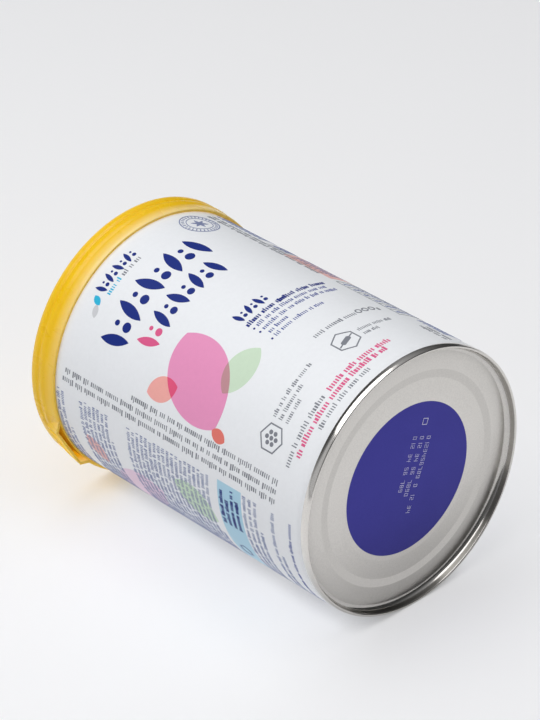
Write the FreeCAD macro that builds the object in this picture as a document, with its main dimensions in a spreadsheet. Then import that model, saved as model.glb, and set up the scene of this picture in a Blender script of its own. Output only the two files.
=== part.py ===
"""Infant formula can lying on its side: a necked tinplate can with a push-on plastic overcap.

Each piece is drawn upright about its own z axis, from the crest of the base seam (z = 0) to the
top of the cap's stacking rim, and its Placement lays it down: the base faces -Y, the cap faces
+Y, and the can rests on its base seam and on the cap's rim, which is the wider of the two.
"""
import FreeCAD, Part

import math
import os
import re

import Sketcher

SIZES = {
    # can body
    "body_diameter": 99.0,
    "tin_height": 137.0,
    "neck_depth": 0.5,
    "neck_length": 1.5,
    # double seams, the same at both ends
    "seam_proud": 0.15,
    "seam_height": 3.15,
    "seam_thickness": 1.15,
    "seam_bulge_radius": 4.5,
    "crest_chamfer": 0.3,
    "hook_length": 1.2,
    "sheet": 0.25,
    "compound_gap": 0.05,
    # pressed panel of the base end
    "panel_depth": 3.95,
    "disc_radius": 28.5,
    "disc_slope": 1.6,
    "disc_step": 0.2,
    "ring_radius": 36.9,
    "ring_slope": 3.0,
    "ring_step": 0.3,
    "sweep_radius": 8.0,
    "sweep_angle": 24.0,
    "foot_radius": 0.9,
    "foot_angle": 82.0,
    "wall_draft": 0.2,
    # top end, closed under the cap
    "top_depth": 4.2,
    # overcap
    "cap_clearance": 0.15,
    "cap_wall": 0.95,
    "cap_panel": 1.0,
    "cap_height": 11.4,
    "rim_height": 2.5,
    "rim_flare": 0.8,
    "rim_width": 1.1,
    "rim_chamfer": 0.3,
    "groove_depth": 0.65,
    "groove_width": 1.0,
    "bead_height": 3.1,
    "bead_radius": 3.4,
    "skirt_swell": 0.3,
    "skirt_round": 2.2,
    "snap_drop": 0.5,
    "snap_height": 0.85,
    "snap_reach": 0.5,
    "ledge_width": 3.8,
    "recess_depth": 1.2,
    "recess_draft": 0.3,
    # finger tab of the overcap
    "tab_bearing": 152.0,
    "tab_height": 7.2,
    "tab_reach": 1.65,
    "tab_half_width": 10.2,
    "tab_root_angle": 16.0,
    "tab_top_reach": 0.6,
    "tab_top_half_width": 8.6,
    "tab_top_root_angle": 13.0,
    "tab_wall": 0.9,
    "tab_roof": 1.3,
    "rib_count": 14,
    "rib_pitch": 1.2,
    "rib_width": 0.5,
    "rib_depth": 0.3,
    # flat spots where the lying can touches the floor
    "rest_flat": 0.1,
    "floor_margin": 20.0,
}

# Lengths worked out from the sizes, as text for the expression engine.
BODY_R = "(body_diameter / 2)"
NECK_R = f"({BODY_R} - neck_depth)"
SEAM_R = f"({BODY_R} + seam_proud)"
SEAM_MID = "(seam_height / 2)"
SEAM_BULGE = f"(seam_bulge_radius - sqrt(seam_bulge_radius ^ 2 - ({SEAM_MID} - crest_chamfer) ^ 2))"
SEAM_SIDE_R = f"({SEAM_R} - {SEAM_BULGE})"
CREST_OUT_R = f"({SEAM_SIDE_R} - crest_chamfer)"
CREST_R = f"({SEAM_R} - seam_thickness)"
CREST_IN_R = f"({CREST_R} + crest_chamfer)"
COVER_R = f"({SEAM_SIDE_R} - sheet)"
HOOK_Z = "(sheet + hook_length)"

FOOT_R = f"({CREST_R} - wall_draft)"
SWEEP_END_R = f"({FOOT_R} - foot_radius * (sin(foot_angle) - sin(sweep_angle)))"
SWEEP_START_R = f"({SWEEP_END_R} - sweep_radius * sin(sweep_angle))"
FLAT_Z = "(panel_depth - disc_step - ring_step)"
SWEEP_END_Z = f"({FLAT_Z} - sweep_radius * (1 - cos(sweep_angle)))"
FOOT_Z = f"({SWEEP_END_Z} - foot_radius * (cos(sweep_angle) - cos(foot_angle)))"
BEND_R = f"({SWEEP_START_R} + (sweep_radius + sheet) * tan(sweep_angle / 2))"
HEEL_R = f"({FOOT_R} + sheet)"
HEEL_Z = f"({FLAT_Z} + sheet - ({HEEL_R} - {BEND_R}) * tan(sweep_angle))"

CAP_IN_R = f"({SEAM_R} + cap_clearance)"
SKIRT_R = f"({CAP_IN_R} + cap_wall)"
RIM_R = f"({SKIRT_R} + rim_flare)"
RIM_IN_R = f"({RIM_R} - rim_width)"
GROOVE_R = f"({RIM_R} - groove_depth)"
LEDGE_R = f"({RIM_IN_R} - ledge_width)"
PLUG_R = f"({CREST_R} - wall_draft - cap_clearance)"
SNAP_R = f"({CAP_IN_R} - snap_reach)"
LEDGE_Z = "(tin_height + cap_panel)"
CAP_TOP_Z = f"({LEDGE_Z} + rim_height)"
CAP_EDGE_Z = f"({CAP_TOP_Z} - cap_height)"
RECESS_Z = f"({LEDGE_Z} - recess_depth)"
BEAD_TOP_Z = f"({LEDGE_Z} - groove_width)"
SNAP_Z = "(tin_height - seam_height - snap_drop)"

TAB_R = f"({SKIRT_R} + tab_reach)"
TAB_TOP_R = f"({SKIRT_R} + tab_top_reach)"
TAB_ROOT_R = f"(({CAP_IN_R} + {SKIRT_R}) / 2)"
TAB_TOP_Z = f"({CAP_EDGE_Z} + tab_height)"
POCKET_TOP_Z = f"({TAB_TOP_Z} - tab_roof)"
POCKET_LEAN = "((tab_reach - tab_top_reach) * (1 - tab_roof / tab_height))"
POCKET_ROOT_R = f"({SNAP_R} - cap_clearance)"
RIB_SPAN = "((rib_count - 1) * rib_pitch)"

LEAN = f"atan(({RIM_R} - {SEAM_R}) / ({LEDGE_Z} - {SEAM_MID}))"
LAY_Z = f"({SEAM_R} * cos({LEAN}) - {SEAM_MID} * sin({LEAN}) - rest_flat)"
FRONT_Y = f"({CREST_OUT_R} * sin({LEAN}))"
BACK_Y = f"({CAP_TOP_Z} * cos({LEAN}) + ({RIM_R} - rim_chamfer) * sin({LEAN}))"
LAY_Y = f"(({FRONT_Y} - {BACK_Y}) / 2)"

NODES = {}


def bound(text):
    """Return an expression in which every size name points at its cell."""
    return re.sub(r"[a-z_]+", lambda name: f"Sizes.{name[0]}" if name[0] in SIZES else name[0], text)


def value(text):
    """Return what an expression is worth now, to draw the shape that it then drives."""
    return float(sheet.evalExpression(bound(text)))


def origin_feature(body, role):
    """Return one of a body's own origin planes or axes."""
    return next(feature for feature in body.Origin.OriginFeatures if feature.Role == role)


def lying_body(label):
    """Add a body whose Placement lays its upright drawing down on the floor."""
    body = doc.addObject("PartDesign::Body", label)
    body.Placement = FreeCAD.Placement(FreeCAD.Vector(), FreeCAD.Rotation(FreeCAD.Vector(1, 0, 0), -90))
    body.setExpression("Placement.Rotation.Angle", bound(f"{LEAN} - 90 deg"))
    body.setExpression("Placement.Base.y", bound(LAY_Y))
    body.setExpression("Placement.Base.z", bound(LAY_Z))
    return body


def add_sketch(body, name, plane, height=None, bearing=None):
    """Add a sketch on an origin plane, raised and turned about z where asked."""
    sketch = body.newObject("Sketcher::SketchObject", name)
    sketch.AttachmentSupport = [(origin_feature(body, plane), "")]
    sketch.MapMode = "FlatFace"
    if height:
        sketch.setExpression("AttachmentOffset.Base.z", bound(height))
    if bearing:
        sketch.setExpression("AttachmentOffset.Rotation.Angle", bound(bearing))
    return sketch


def bind(sketch, kind, references, name, text):
    """Add a named size to a sketch and bind it to an expression."""
    index = sketch.addConstraint(Sketcher.Constraint(kind, *references, value(text)))
    sketch.renameConstraint(index, name)
    sketch.setExpression(f"Constraints.{name}", bound(text))


def arc_between(start, end, radius, turn):
    """Return the arc from start to end that turns left (1) or right (-1), drawn anticlockwise."""
    chord = end - start
    to_centre = FreeCAD.Vector(-chord.y, chord.x, 0).normalize() * turn
    centre = (start + end) / 2 + to_centre * math.sqrt(radius ** 2 - chord.Length ** 2 / 4)
    first, last = (start, end) if turn > 0 else (end, start)
    angles = [math.atan2(point.y - centre.y, point.x - centre.x) for point in (first, last)]
    return Part.ArcOfCircle(Part.Circle(centre, FreeCAD.Vector(0, 0, 1), radius), *angles)


def draw_outline(sketch, corners, arcs):
    """Draw a closed outline through named corners; arcs maps a corner to the radius and turn after it."""
    names = list(corners)
    points = [FreeCAD.Vector(value(corners[name][0]), value(corners[name][1]), 0) for name in names]
    edges = []
    for name, start, end in zip(names, points, points[1:] + points[:1]):
        radius, turn = arcs.get(name, (None, 1))
        shape = arc_between(start, end, value(radius), turn) if radius else Part.LineSegment(start, end)
        edges.append((sketch.addGeometry(shape, False), 1 if turn > 0 else 2))
    for (edge, first), (following, start) in zip(edges, edges[1:] + edges[:1]):
        sketch.addConstraint(Sketcher.Constraint("Coincident", edge, 3 - first, following, start))
    for name, (edge, first) in zip(names, edges):
        for kind, axis, text in zip(("DistanceX", "DistanceY"), (-2, -1), corners[name]):
            if text == "0":
                sketch.addConstraint(Sketcher.Constraint("PointOnObject", edge, first, axis))
            else:
                bind(sketch, kind, (-1, 1, edge, first), f"{name}_{kind[-1].lower()}", text)
        if name in arcs:
            bind(sketch, "Radius", (edge,), f"{name}_radius", arcs[name][0])


def revolve(body, corners, arcs=None):
    """Turn an outline in the XZ plane about the body's z axis."""
    profile = add_sketch(body, f"{body.Label}_profile", "XZ_Plane")
    draw_outline(profile, corners, arcs or {})
    turned = body.newObject("PartDesign::Revolution", f"{body.Label}_turned")
    turned.Profile = profile
    turned.ReferenceAxis = (origin_feature(body, "Z_Axis"), [""])
    turned.Angle = 360
    return turned


def draw_lug(sketch, reach, half_width, root_radius, root_angle):
    """Draw a flat-fronted lug, symmetric about the sketch's x axis, on an arc round the can's axis."""
    root = value(root_radius)
    angle = math.radians(value(root_angle))
    root_end = FreeCAD.Vector(root * math.cos(angle), root * math.sin(angle), 0)
    front_end = FreeCAD.Vector(value(reach), value(half_width), 0)
    root_start = FreeCAD.Vector(root_end.x, -root_end.y, 0)
    front_start = FreeCAD.Vector(front_end.x, -front_end.y, 0)
    circle = Part.Circle(FreeCAD.Vector(), FreeCAD.Vector(0, 0, 1), root)
    arc = sketch.addGeometry(Part.ArcOfCircle(circle, -angle, angle), False)
    side = sketch.addGeometry(Part.LineSegment(root_end, front_end), False)
    front = sketch.addGeometry(Part.LineSegment(front_end, front_start), False)
    other_side = sketch.addGeometry(Part.LineSegment(front_start, root_start), False)
    for first, second in ((arc, side), (side, front), (front, other_side)):
        sketch.addConstraint(Sketcher.Constraint("Coincident", first, 2, second, 1))
    sketch.addConstraint(Sketcher.Constraint("Coincident", other_side, 2, arc, 1))
    sketch.addConstraint(Sketcher.Constraint("Coincident", arc, 3, -1, 1))
    sketch.addConstraint(Sketcher.Constraint("Symmetric", arc, 1, arc, 2, -1))
    sketch.addConstraint(Sketcher.Constraint("Symmetric", front, 1, front, 2, -1))
    bind(sketch, "Radius", (arc,), "root_radius", root_radius)
    bind(sketch, "DistanceY", (-1, 1, arc, 2), "root_end", f"{root_radius} * sin({root_angle})")
    bind(sketch, "DistanceX", (-1, 1, front, 1), "reach", reach)
    bind(sketch, "DistanceY", (-1, 1, front, 1), "half_width", half_width)


def draw_rib(sketch, reach):
    """Draw the section of the first rib, sunk by its own depth into the tab's front."""
    left = value(f"{reach} - rib_depth")
    right = value(f"{reach} + rib_depth")
    low = value(f"-({RIB_SPAN} + rib_width) / 2")
    high = low + value("rib_width")
    corners = [FreeCAD.Vector(x, y, 0) for x, y in ((left, low), (right, low), (right, high), (left, high))]
    edges = [
        sketch.addGeometry(Part.LineSegment(start, end), False)
        for start, end in zip(corners, corners[1:] + corners[:1])
    ]
    for edge, following in zip(edges, edges[1:] + edges[:1]):
        sketch.addConstraint(Sketcher.Constraint("Coincident", edge, 2, following, 1))
    for edge, direction in zip(edges, ("Horizontal", "Vertical") * 2):
        sketch.addConstraint(Sketcher.Constraint(direction, edge))
    bind(sketch, "DistanceX", (edges[0], 1, edges[0], 2), "thickness", "2 * rib_depth")
    bind(sketch, "DistanceY", (edges[1], 1, edges[1], 2), "width", "rib_width")
    bind(sketch, "DistanceX", (-1, 1, edges[0], 2), "reach", f"{reach} + rib_depth")
    bind(sketch, "DistanceY", (edges[0], 1, -1, 1), "offset", f"({RIB_SPAN} + rib_width) / 2")


def loft(body, kind, name, sections):
    """Join two sections of the tab with a straight-sided loft."""
    solid = body.newObject(f"PartDesign::{kind}Loft", name)
    solid.Profile = sections[0]
    solid.Sections = sections[1:]
    solid.Ruled = True
    return solid


def rest_on_floor(label, body):
    """Trim what the lying piece has below the floor, which leaves its flat spot."""
    floor = doc.addObject("Part::Box", f"{label}_floor")
    span = bound(f"2 * ({RIM_R} + floor_margin)")
    reach = bound(f"{CAP_TOP_Z} + 2 * floor_margin")
    floor.setExpression("Length", span)
    floor.setExpression("Width", reach)
    floor.setExpression("Height", bound("floor_margin"))
    floor.setExpression("Placement.Base.x", f"-({span}) / 2")
    floor.setExpression("Placement.Base.y", f"-({reach}) / 2")
    floor.setExpression("Placement.Base.z", bound("-floor_margin"))
    trimmed = doc.addObject("Part::Cut", label)
    trimmed.Base = body
    trimmed.Tool = floor
    return trimmed


def make_can_body():
    """Filled, shut can: body wall with its neck and body hook, and the seamed top end."""
    body = lying_body("can_body")
    gap = "compound_gap"
    revolve(
        body,
        {
            "base_centre": ("0", f"panel_depth + sheet + {gap}"),
            "base_ring": ("ring_radius", f"panel_depth + sheet + {gap}"),
            "base_flat": ("ring_radius + ring_slope", f"{FLAT_Z} + sheet + {gap}"),
            "base_bend": (f"{BEND_R} + {gap} * tan(sweep_angle / 2)", f"{FLAT_Z} + sheet + {gap}"),
            "base_heel": (f"{HEEL_R} + {gap}", f"{HEEL_Z} + {gap}"),
            "hook_inner": (f"{CREST_R} + sheet + {gap}", f"sheet + {gap}"),
            "hook_outer": (f"{COVER_R} - {gap}", f"sheet + {gap}"),
            "hook_tip": (f"{COVER_R} - {gap}", f"{HOOK_Z} - {gap}"),
            "hook_root": (NECK_R, f"{HOOK_Z} - {gap}"),
            "neck_low": (NECK_R, "seam_height + sheet"),
            "wall_low": (BODY_R, "seam_height + sheet + neck_length"),
            "wall_high": (BODY_R, "tin_height - seam_height - sheet - neck_length"),
            "neck_high": (NECK_R, "tin_height - seam_height - sheet"),
            "top_seam_root": (NECK_R, "tin_height - seam_height"),
            "top_seam_foot": (CREST_OUT_R, "tin_height - seam_height"),
            "top_seam_low": (SEAM_SIDE_R, "tin_height - seam_height + crest_chamfer"),
            "top_seam_high": (SEAM_SIDE_R, "tin_height - crest_chamfer"),
            "top_crest_out": (CREST_OUT_R, "tin_height"),
            "top_crest_in": (CREST_IN_R, "tin_height"),
            "top_wall_high": (CREST_R, "tin_height - crest_chamfer"),
            "top_wall_low": (FOOT_R, f"tin_height - {FOOT_Z}"),
            "top_panel": (SWEEP_END_R, "tin_height - top_depth"),
            "top_centre": ("0", "tin_height - top_depth"),
        },
        {"top_seam_low": ("seam_bulge_radius", 1)},
    )
    NODES["can_body"] = body


def make_base_end():
    """Pressed tinplate end: stepped panel, chuck wall, and the cover that folds over the body hook."""
    body = lying_body("base_end_form")
    revolve(
        body,
        {
            "disc_centre": ("0", "panel_depth"),
            "disc_edge": ("disc_radius", "panel_depth"),
            "inner_ring": ("disc_radius + disc_slope", "panel_depth - disc_step"),
            "inner_ring_edge": ("ring_radius", "panel_depth - disc_step"),
            "outer_ring": ("ring_radius + ring_slope", FLAT_Z),
            "sweep_start": (SWEEP_START_R, FLAT_Z),
            "sweep_end": (SWEEP_END_R, SWEEP_END_Z),
            "wall_foot": (FOOT_R, FOOT_Z),
            "wall_top": (CREST_R, "crest_chamfer"),
            "crest_in": (CREST_IN_R, "0"),
            "crest_out": (CREST_OUT_R, "0"),
            "cover_top": (SEAM_SIDE_R, "crest_chamfer"),
            "cover_foot": (SEAM_SIDE_R, "seam_height - crest_chamfer"),
            "cover_lip": (CREST_OUT_R, "seam_height"),
            "cover_end": (f"{NECK_R} + compound_gap", "seam_height"),
            "cover_hook": (f"{NECK_R} + compound_gap", HOOK_Z),
            "cover_bend": (COVER_R, HOOK_Z),
            "cover_roof": (COVER_R, "sheet"),
            "wall_back_top": (f"{CREST_R} + sheet", "sheet"),
            "heel": (HEEL_R, HEEL_Z),
            "bend": (BEND_R, f"{FLAT_Z} + sheet"),
            "outer_ring_back": ("ring_radius + ring_slope", f"{FLAT_Z} + sheet"),
            "inner_ring_back": ("ring_radius", "panel_depth + sheet"),
            "disc_back": ("0", "panel_depth + sheet"),
        },
        {
            "sweep_start": ("sweep_radius", -1),
            "sweep_end": ("foot_radius", -1),
            "cover_top": ("seam_bulge_radius", 1),
        },
    )
    NODES["base_end"] = rest_on_floor("base_end", body)


def make_overcap():
    """Moulded cap: stacking rim, recessed panel, beaded skirt with a snap ring, and a ribbed tab."""
    body = lying_body("overcap_form")
    revolve(
        body,
        {
            "panel_centre": ("0", RECESS_Z),
            "panel_edge": (f"{LEDGE_R} - recess_draft", RECESS_Z),
            "ledge_inner": (LEDGE_R, LEDGE_Z),
            "ledge_outer": (RIM_IN_R, LEDGE_Z),
            "rim_inner": (RIM_IN_R, CAP_TOP_Z),
            "rim_outer": (f"{RIM_R} - rim_chamfer", CAP_TOP_Z),
            "rim_side": (RIM_R, f"{CAP_TOP_Z} - rim_chamfer"),
            "rim_foot": (RIM_R, LEDGE_Z),
            "groove": (GROOVE_R, f"{LEDGE_Z} - groove_width / 2"),
            "bead_top": (GROOVE_R, BEAD_TOP_Z),
            "bead_foot": (GROOVE_R, f"{BEAD_TOP_Z} - bead_height"),
            "skirt_side": (f"{SKIRT_R} + skirt_swell", f"{CAP_EDGE_Z} + skirt_round"),
            "skirt_edge": (SKIRT_R, CAP_EDGE_Z),
            "skirt_mouth": (CAP_IN_R, CAP_EDGE_Z),
            "snap_foot": (CAP_IN_R, f"{SNAP_Z} - snap_height"),
            "snap_crest": (SNAP_R, SNAP_Z),
            "snap_top": (CAP_IN_R, f"{SNAP_Z} + snap_drop / 2"),
            "seat_outer": (CAP_IN_R, "tin_height"),
            "seat_inner": (PLUG_R, "tin_height"),
            "plug_foot": (f"{PLUG_R} - recess_draft", f"{RECESS_Z} - cap_panel"),
            "panel_back": ("0", f"{RECESS_Z} - cap_panel"),
        },
        {"bead_top": ("bead_radius", -1), "skirt_side": ("skirt_round * 2", -1)},
    )

    tab_foot = add_sketch(body, "tab_foot", "XY_Plane", CAP_EDGE_Z, "tab_bearing")
    draw_lug(tab_foot, TAB_R, "tab_half_width", TAB_ROOT_R, "tab_root_angle")
    tab_top = add_sketch(body, "tab_top", "XY_Plane", TAB_TOP_Z, "tab_bearing")
    draw_lug(tab_top, TAB_TOP_R, "tab_top_half_width", TAB_ROOT_R, "tab_top_root_angle")
    loft(body, "Additive", "tab", [tab_foot, tab_top])

    rib_foot = add_sketch(body, "rib_foot", "XY_Plane", CAP_EDGE_Z, "tab_bearing")
    draw_rib(rib_foot, TAB_R)
    rib_top = add_sketch(body, "rib_top", "XY_Plane", TAB_TOP_Z, "tab_bearing")
    draw_rib(rib_top, TAB_TOP_R)
    rib = loft(body, "Additive", "rib", [rib_foot, rib_top])
    ribs = body.newObject("PartDesign::LinearPattern", "ribs")
    ribs.Originals = [rib]
    ribs.Direction = (rib_foot, ["V_Axis"])
    ribs.setExpression("Length", bound(RIB_SPAN))
    ribs.setExpression("Occurrences", bound("rib_count"))
    body.Tip = ribs

    pocket_foot = add_sketch(body, "pocket_foot", "XY_Plane", CAP_EDGE_Z, "tab_bearing")
    draw_lug(
        pocket_foot,
        f"({TAB_R} - tab_wall)",
        "(tab_half_width - tab_wall)",
        POCKET_ROOT_R,
        "(tab_root_angle * (1 - tab_wall / tab_half_width) - 1)",
    )
    pocket_top = add_sketch(body, "pocket_top", "XY_Plane", POCKET_TOP_Z, "tab_bearing")
    draw_lug(
        pocket_top,
        f"({TAB_R} - {POCKET_LEAN} - tab_wall)",
        "(tab_top_half_width - tab_wall)",
        POCKET_ROOT_R,
        "(tab_top_root_angle * (1 - tab_wall / tab_top_half_width) - 1)",
    )
    loft(body, "Subtractive", "pocket", [pocket_foot, pocket_top])
    NODES["overcap"] = rest_on_floor("overcap", body)


doc = FreeCAD.newDocument("formula_can")
sheet = doc.addObject("Spreadsheet::Sheet", "Sizes")
for row, (name, size) in enumerate(SIZES.items(), 1):
    sheet.set(f"A{row}", name)
    sheet.set(f"B{row}", str(size))
    sheet.setAlias(f"B{row}", name)
doc.recompute()

make_can_body()
make_base_end()
make_overcap()
doc.recompute()

for item in doc.Objects:
    if {"Invalid", "Error"} & set(item.State):
        raise RuntimeError(f"{item.Name} did not build: {item.State}")
for name, node in NODES.items():
    if node.Shape.isNull() or not node.Shape.isValid() or len(node.Shape.Solids) != 1:
        raise RuntimeError(f"{name} is not one valid solid")

os.makedirs("parts", exist_ok=True)
for name, node in NODES.items():
    node.Shape.exportStep(f"parts/{name}.step")
    box = node.Shape.BoundBox
    print(f"{name}: volume {node.Shape.Volume:.1f}, box {box}")
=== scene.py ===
"""Infant formula can lying on its side, dressed for a soft studio picture.

Every piece is drawn in millimetres in the can's own upright frame: z runs from the crest of the
base seam to the top of the cap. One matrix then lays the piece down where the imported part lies.
"""

import logging
import math
import random
from dataclasses import dataclass, field
from enum import Enum
from typing import Sequence

import bmesh
import bpy
from mathutils import Matrix, Vector

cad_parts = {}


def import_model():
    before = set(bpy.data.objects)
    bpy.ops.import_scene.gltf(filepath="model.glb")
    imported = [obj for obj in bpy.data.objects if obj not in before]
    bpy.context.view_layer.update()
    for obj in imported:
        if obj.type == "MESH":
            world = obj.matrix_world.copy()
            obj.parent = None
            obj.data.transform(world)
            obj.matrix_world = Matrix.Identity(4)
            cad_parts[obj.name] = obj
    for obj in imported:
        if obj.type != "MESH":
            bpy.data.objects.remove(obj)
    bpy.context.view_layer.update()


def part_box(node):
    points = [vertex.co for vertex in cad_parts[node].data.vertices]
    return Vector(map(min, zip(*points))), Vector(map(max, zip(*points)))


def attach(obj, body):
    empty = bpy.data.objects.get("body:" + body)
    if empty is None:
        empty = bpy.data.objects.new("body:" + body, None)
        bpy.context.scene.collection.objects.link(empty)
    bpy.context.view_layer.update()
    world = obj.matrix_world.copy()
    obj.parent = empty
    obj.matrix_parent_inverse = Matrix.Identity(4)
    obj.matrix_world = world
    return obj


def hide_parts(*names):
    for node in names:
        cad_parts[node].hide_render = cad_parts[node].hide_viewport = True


LOG = logging.getLogger("formula_can")
MILLIMETRE = 0.001
MERGE_DISTANCE = 1e-4
ROUND_STEPS = 512
SMOOTH_BELOW = math.radians(32)
SEED = 7
NOISE_SPAN = (0.3, 0.7)
LIGHT, BOLD, BLACK = 0.38, 0.52, 0.6
RADIUS = "turning_radius"

Pair = tuple[float, float]
Shape = bmesh.types.BMesh
Vert = bmesh.types.BMVert
Tree = bpy.types.NodeTree
Socket = bpy.types.NodeSocket
Material = bpy.types.Material
Piece = bpy.types.Object


# --- Shared sizes ---


@dataclass(frozen=True)
class TinSizes:
    """Sizes of the seamed tin that its pieces share, in millimetres."""

    height: float = 137.0
    body_radius: float = 49.5
    neck_radius: float = 49.0
    neck_length: float = 1.5
    seam_height: float = 3.15
    seam_radius: float = 49.65
    seam_side_radius: float = 49.466
    seam_foot_radius: float = 49.166
    crest_radius: float = 48.5
    crest_round: float = 0.3
    wall_foot_radius: float = 48.3
    cover_radius: float = 49.216
    hook_height: float = 1.45
    compound_gap: float = 0.05
    sheet: float = 0.25
    panel_depth: float = 3.95
    disc_step: float = 0.2
    ring_radius: float = 36.9
    ring_slope: float = 3.0
    ring_step: float = 0.3


@dataclass(frozen=True)
class CapSizes:
    """Sizes of the plastic cap, in millimetres."""

    height: float = 11.4
    inner_radius: float = 49.8
    skirt_radius: float = 50.75
    rim_radius: float = 51.55
    rim_height: float = 2.5
    rim_width: float = 1.1
    panel: float = 1.0


TIN = TinSizes()
CAP = CapSizes()
LEDGE_HEIGHT = TIN.height + CAP.panel
CAP_TOP = LEDGE_HEIGHT + CAP.rim_height
CAP_EDGE = CAP_TOP - CAP.height


def lying_matrix() -> Matrix:
    """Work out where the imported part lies.

    Returns:
        The matrix that takes the upright can in millimetres to the lying can in metres.
    """
    seam_middle = TIN.seam_height / 2
    lean = math.atan((CAP.rim_radius - TIN.seam_radius) / (LEDGE_HEIGHT - seam_middle))
    turn = Matrix.Rotation(lean - math.pi / 2, 4, "X") @ Matrix.Scale(MILLIMETRE, 4)
    cap_low, cap_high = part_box("overcap")
    rim_top = turn @ Vector((0, -CAP.rim_radius, LEDGE_HEIGHT))
    crest = turn @ Vector((0, -TIN.seam_foot_radius, 0))
    base_low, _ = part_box("base_end")
    return Matrix.Translation((0, base_low.y - crest.y, cap_high.z - rim_top.z)) @ turn


# --- Outlines and meshes ---


@dataclass(frozen=True)
class Corner:
    """A corner of a turned outline, in mm; its rounding starts easing back on both sides."""

    radius: float
    height: float
    easing: float = 0.0
    steps: int = 4


def bulge(low: Corner, high: Corner, swell: float, steps: int = 8) -> list[Corner]:
    """Bow the stretch between two corners outwards.

    Args:
        low: Corner where the stretch starts.
        high: Corner where it ends.
        swell: How far the middle stands out, along the radius.
        steps: Number of straight pieces.

    Returns:
        Both corners with the points of a shallow arc between them.
    """
    between = []
    for step in range(1, steps):
        share = step / steps
        radius = low.radius + (high.radius - low.radius) * share + swell * 4 * share * (1 - share)
        between.append(Corner(radius, low.height + (high.height - low.height) * share))
    return [low, *between, high]


def placing(centre: Pair, degrees: float) -> Matrix:
    """Give the matrix that turns a flat shape and moves it to its centre."""
    return Matrix.Translation((*centre, 0)) @ Matrix.Rotation(math.radians(degrees), 4, "Z")


def round_about(middle: Pair, radius: float, count: int, start: float = 0.0) -> list[tuple]:
    """List evenly spaced places round a middle, each with its direction in degrees."""
    places = []
    for step in range(count):
        angle = math.tau * (step + start) / count
        place = (middle[0] + radius * math.cos(angle), middle[1] + radius * math.sin(angle))
        places.append((place, math.degrees(angle)))
    return places


def round_off(shape: Shape, corners: list[Vert], easing: float, steps: int) -> list[Vert]:
    """Round corners of a line or a face; the rounding starts easing back on both sides."""
    return bmesh.ops.bevel(
        shape,
        geom=corners,
        offset=easing,
        offset_type="OFFSET",
        affect="VERTICES",
        segments=steps,
        profile=0.5,
        material=-1,
    )["verts"]


def turned(corners: Sequence[Corner]) -> Shape:
    """Turn an outline about the can's axis into a closed shape.

    Args:
        corners: The outline in order, closed from its last corner to its first.

    Returns:
        The turned shape, upright, in millimetres; each corner keeps its radius as an attribute.
    """
    shape = bmesh.new()
    points = [shape.verts.new((corner.radius, 0, corner.height)) for corner in corners]
    for start, end in zip(points, points[1:] + points[:1]):
        if start.co.x or end.co.x:
            shape.edges.new((start, end))
    for point, corner in zip(points, corners):
        if corner.easing:
            round_off(shape, [point], corner.easing, corner.steps)
    bmesh.ops.spin(
        shape,
        geom=shape.verts[:] + shape.edges[:],
        cent=(0, 0, 0),
        axis=(0, 0, 1),
        angle=math.tau,
        steps=ROUND_STEPS,
        use_merge=True,
        use_duplicate=False,
    )
    bmesh.ops.remove_doubles(shape, verts=shape.verts, dist=MERGE_DISTANCE)
    bmesh.ops.recalc_face_normals(shape, faces=shape.faces)
    radius = shape.verts.layers.float.new(RADIUS)
    for vert in shape.verts:
        vert[radius] = vert.co.xy.length
    return shape


def trim_at_floor(shape: Shape) -> None:
    """Cut a laid-down shape off at the floor, which leaves its flat rest spot."""
    everything = shape.verts[:] + shape.edges[:] + shape.faces[:]
    cut = bmesh.ops.bisect_plane(
        shape, geom=everything, plane_co=(0, 0, 0), plane_no=(0, 0, 1), clear_inner=True
    )
    edges = [part for part in cut["geom_cut"] if isinstance(part, bmesh.types.BMEdge)]
    bmesh.ops.holes_fill(shape, edges=edges, sides=0)


def make_object(shape: Shape, name: str) -> Piece:
    """Write a shape into a new smooth-shaded object and free the shape."""
    mesh = bpy.data.meshes.new(name)
    shape.to_mesh(mesh)
    shape.free()
    mesh.shade_smooth()
    mesh.set_sharp_from_angle(angle=SMOOTH_BELOW)
    made = bpy.data.objects.new(name, mesh)
    bpy.context.scene.collection.objects.link(made)
    return made


@dataclass
class Bench:
    """Lays finished shapes down and hands them over as pieces of the can."""

    lying: Matrix

    def settle(
        self,
        shape: Shape,
        name: str,
        material: Material,
        slot: str,
        stands_for: str = "",
        trim: bool = False,
    ) -> Piece:
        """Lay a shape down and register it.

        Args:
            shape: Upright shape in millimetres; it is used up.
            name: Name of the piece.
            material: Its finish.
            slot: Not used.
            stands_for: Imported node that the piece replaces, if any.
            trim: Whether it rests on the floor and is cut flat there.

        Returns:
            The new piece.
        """
        shape.transform(self.lying)
        if trim:
            trim_at_floor(shape)
        bmesh.ops.recalc_face_normals(shape, faces=shape.faces)
        piece = make_object(shape, name)
        piece.data.materials.append(material)
        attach(piece, "root")
        if stands_for:
            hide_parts(stands_for)
        LOG.info("%s: %d faces", name, len(piece.data.polygons))
        return piece


# --- Materials ---

def linear(colour: str) -> tuple[float, float, float, float]:
    """Turn an sRGB hex colour into linear RGBA."""
    channels = [int(colour[start : start + 2], 16) / 255 for start in (1, 3, 5)]
    bent = [c / 12.92 if c <= 0.04045 else ((c + 0.055) / 1.055) ** 2.4 for c in channels]
    return (*bent, 1.0)


def set_up(tree: Tree, node: bpy.types.Node, settings: dict) -> bpy.types.Node:
    """Set a node's properties and inputs.

    Args:
        tree: Node tree that holds the node.
        node: Node to set up.
        settings: Values by property name, or by input name or number; an output socket is linked.

    Returns:
        The same node.
    """
    for key, value in settings.items():
        if isinstance(value, Socket):
            tree.links.new(value, node.inputs[key])
        elif isinstance(key, str) and hasattr(node, key):
            setattr(node, key, value)
        else:
            node.inputs[key].default_value = value
    return node


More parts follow.
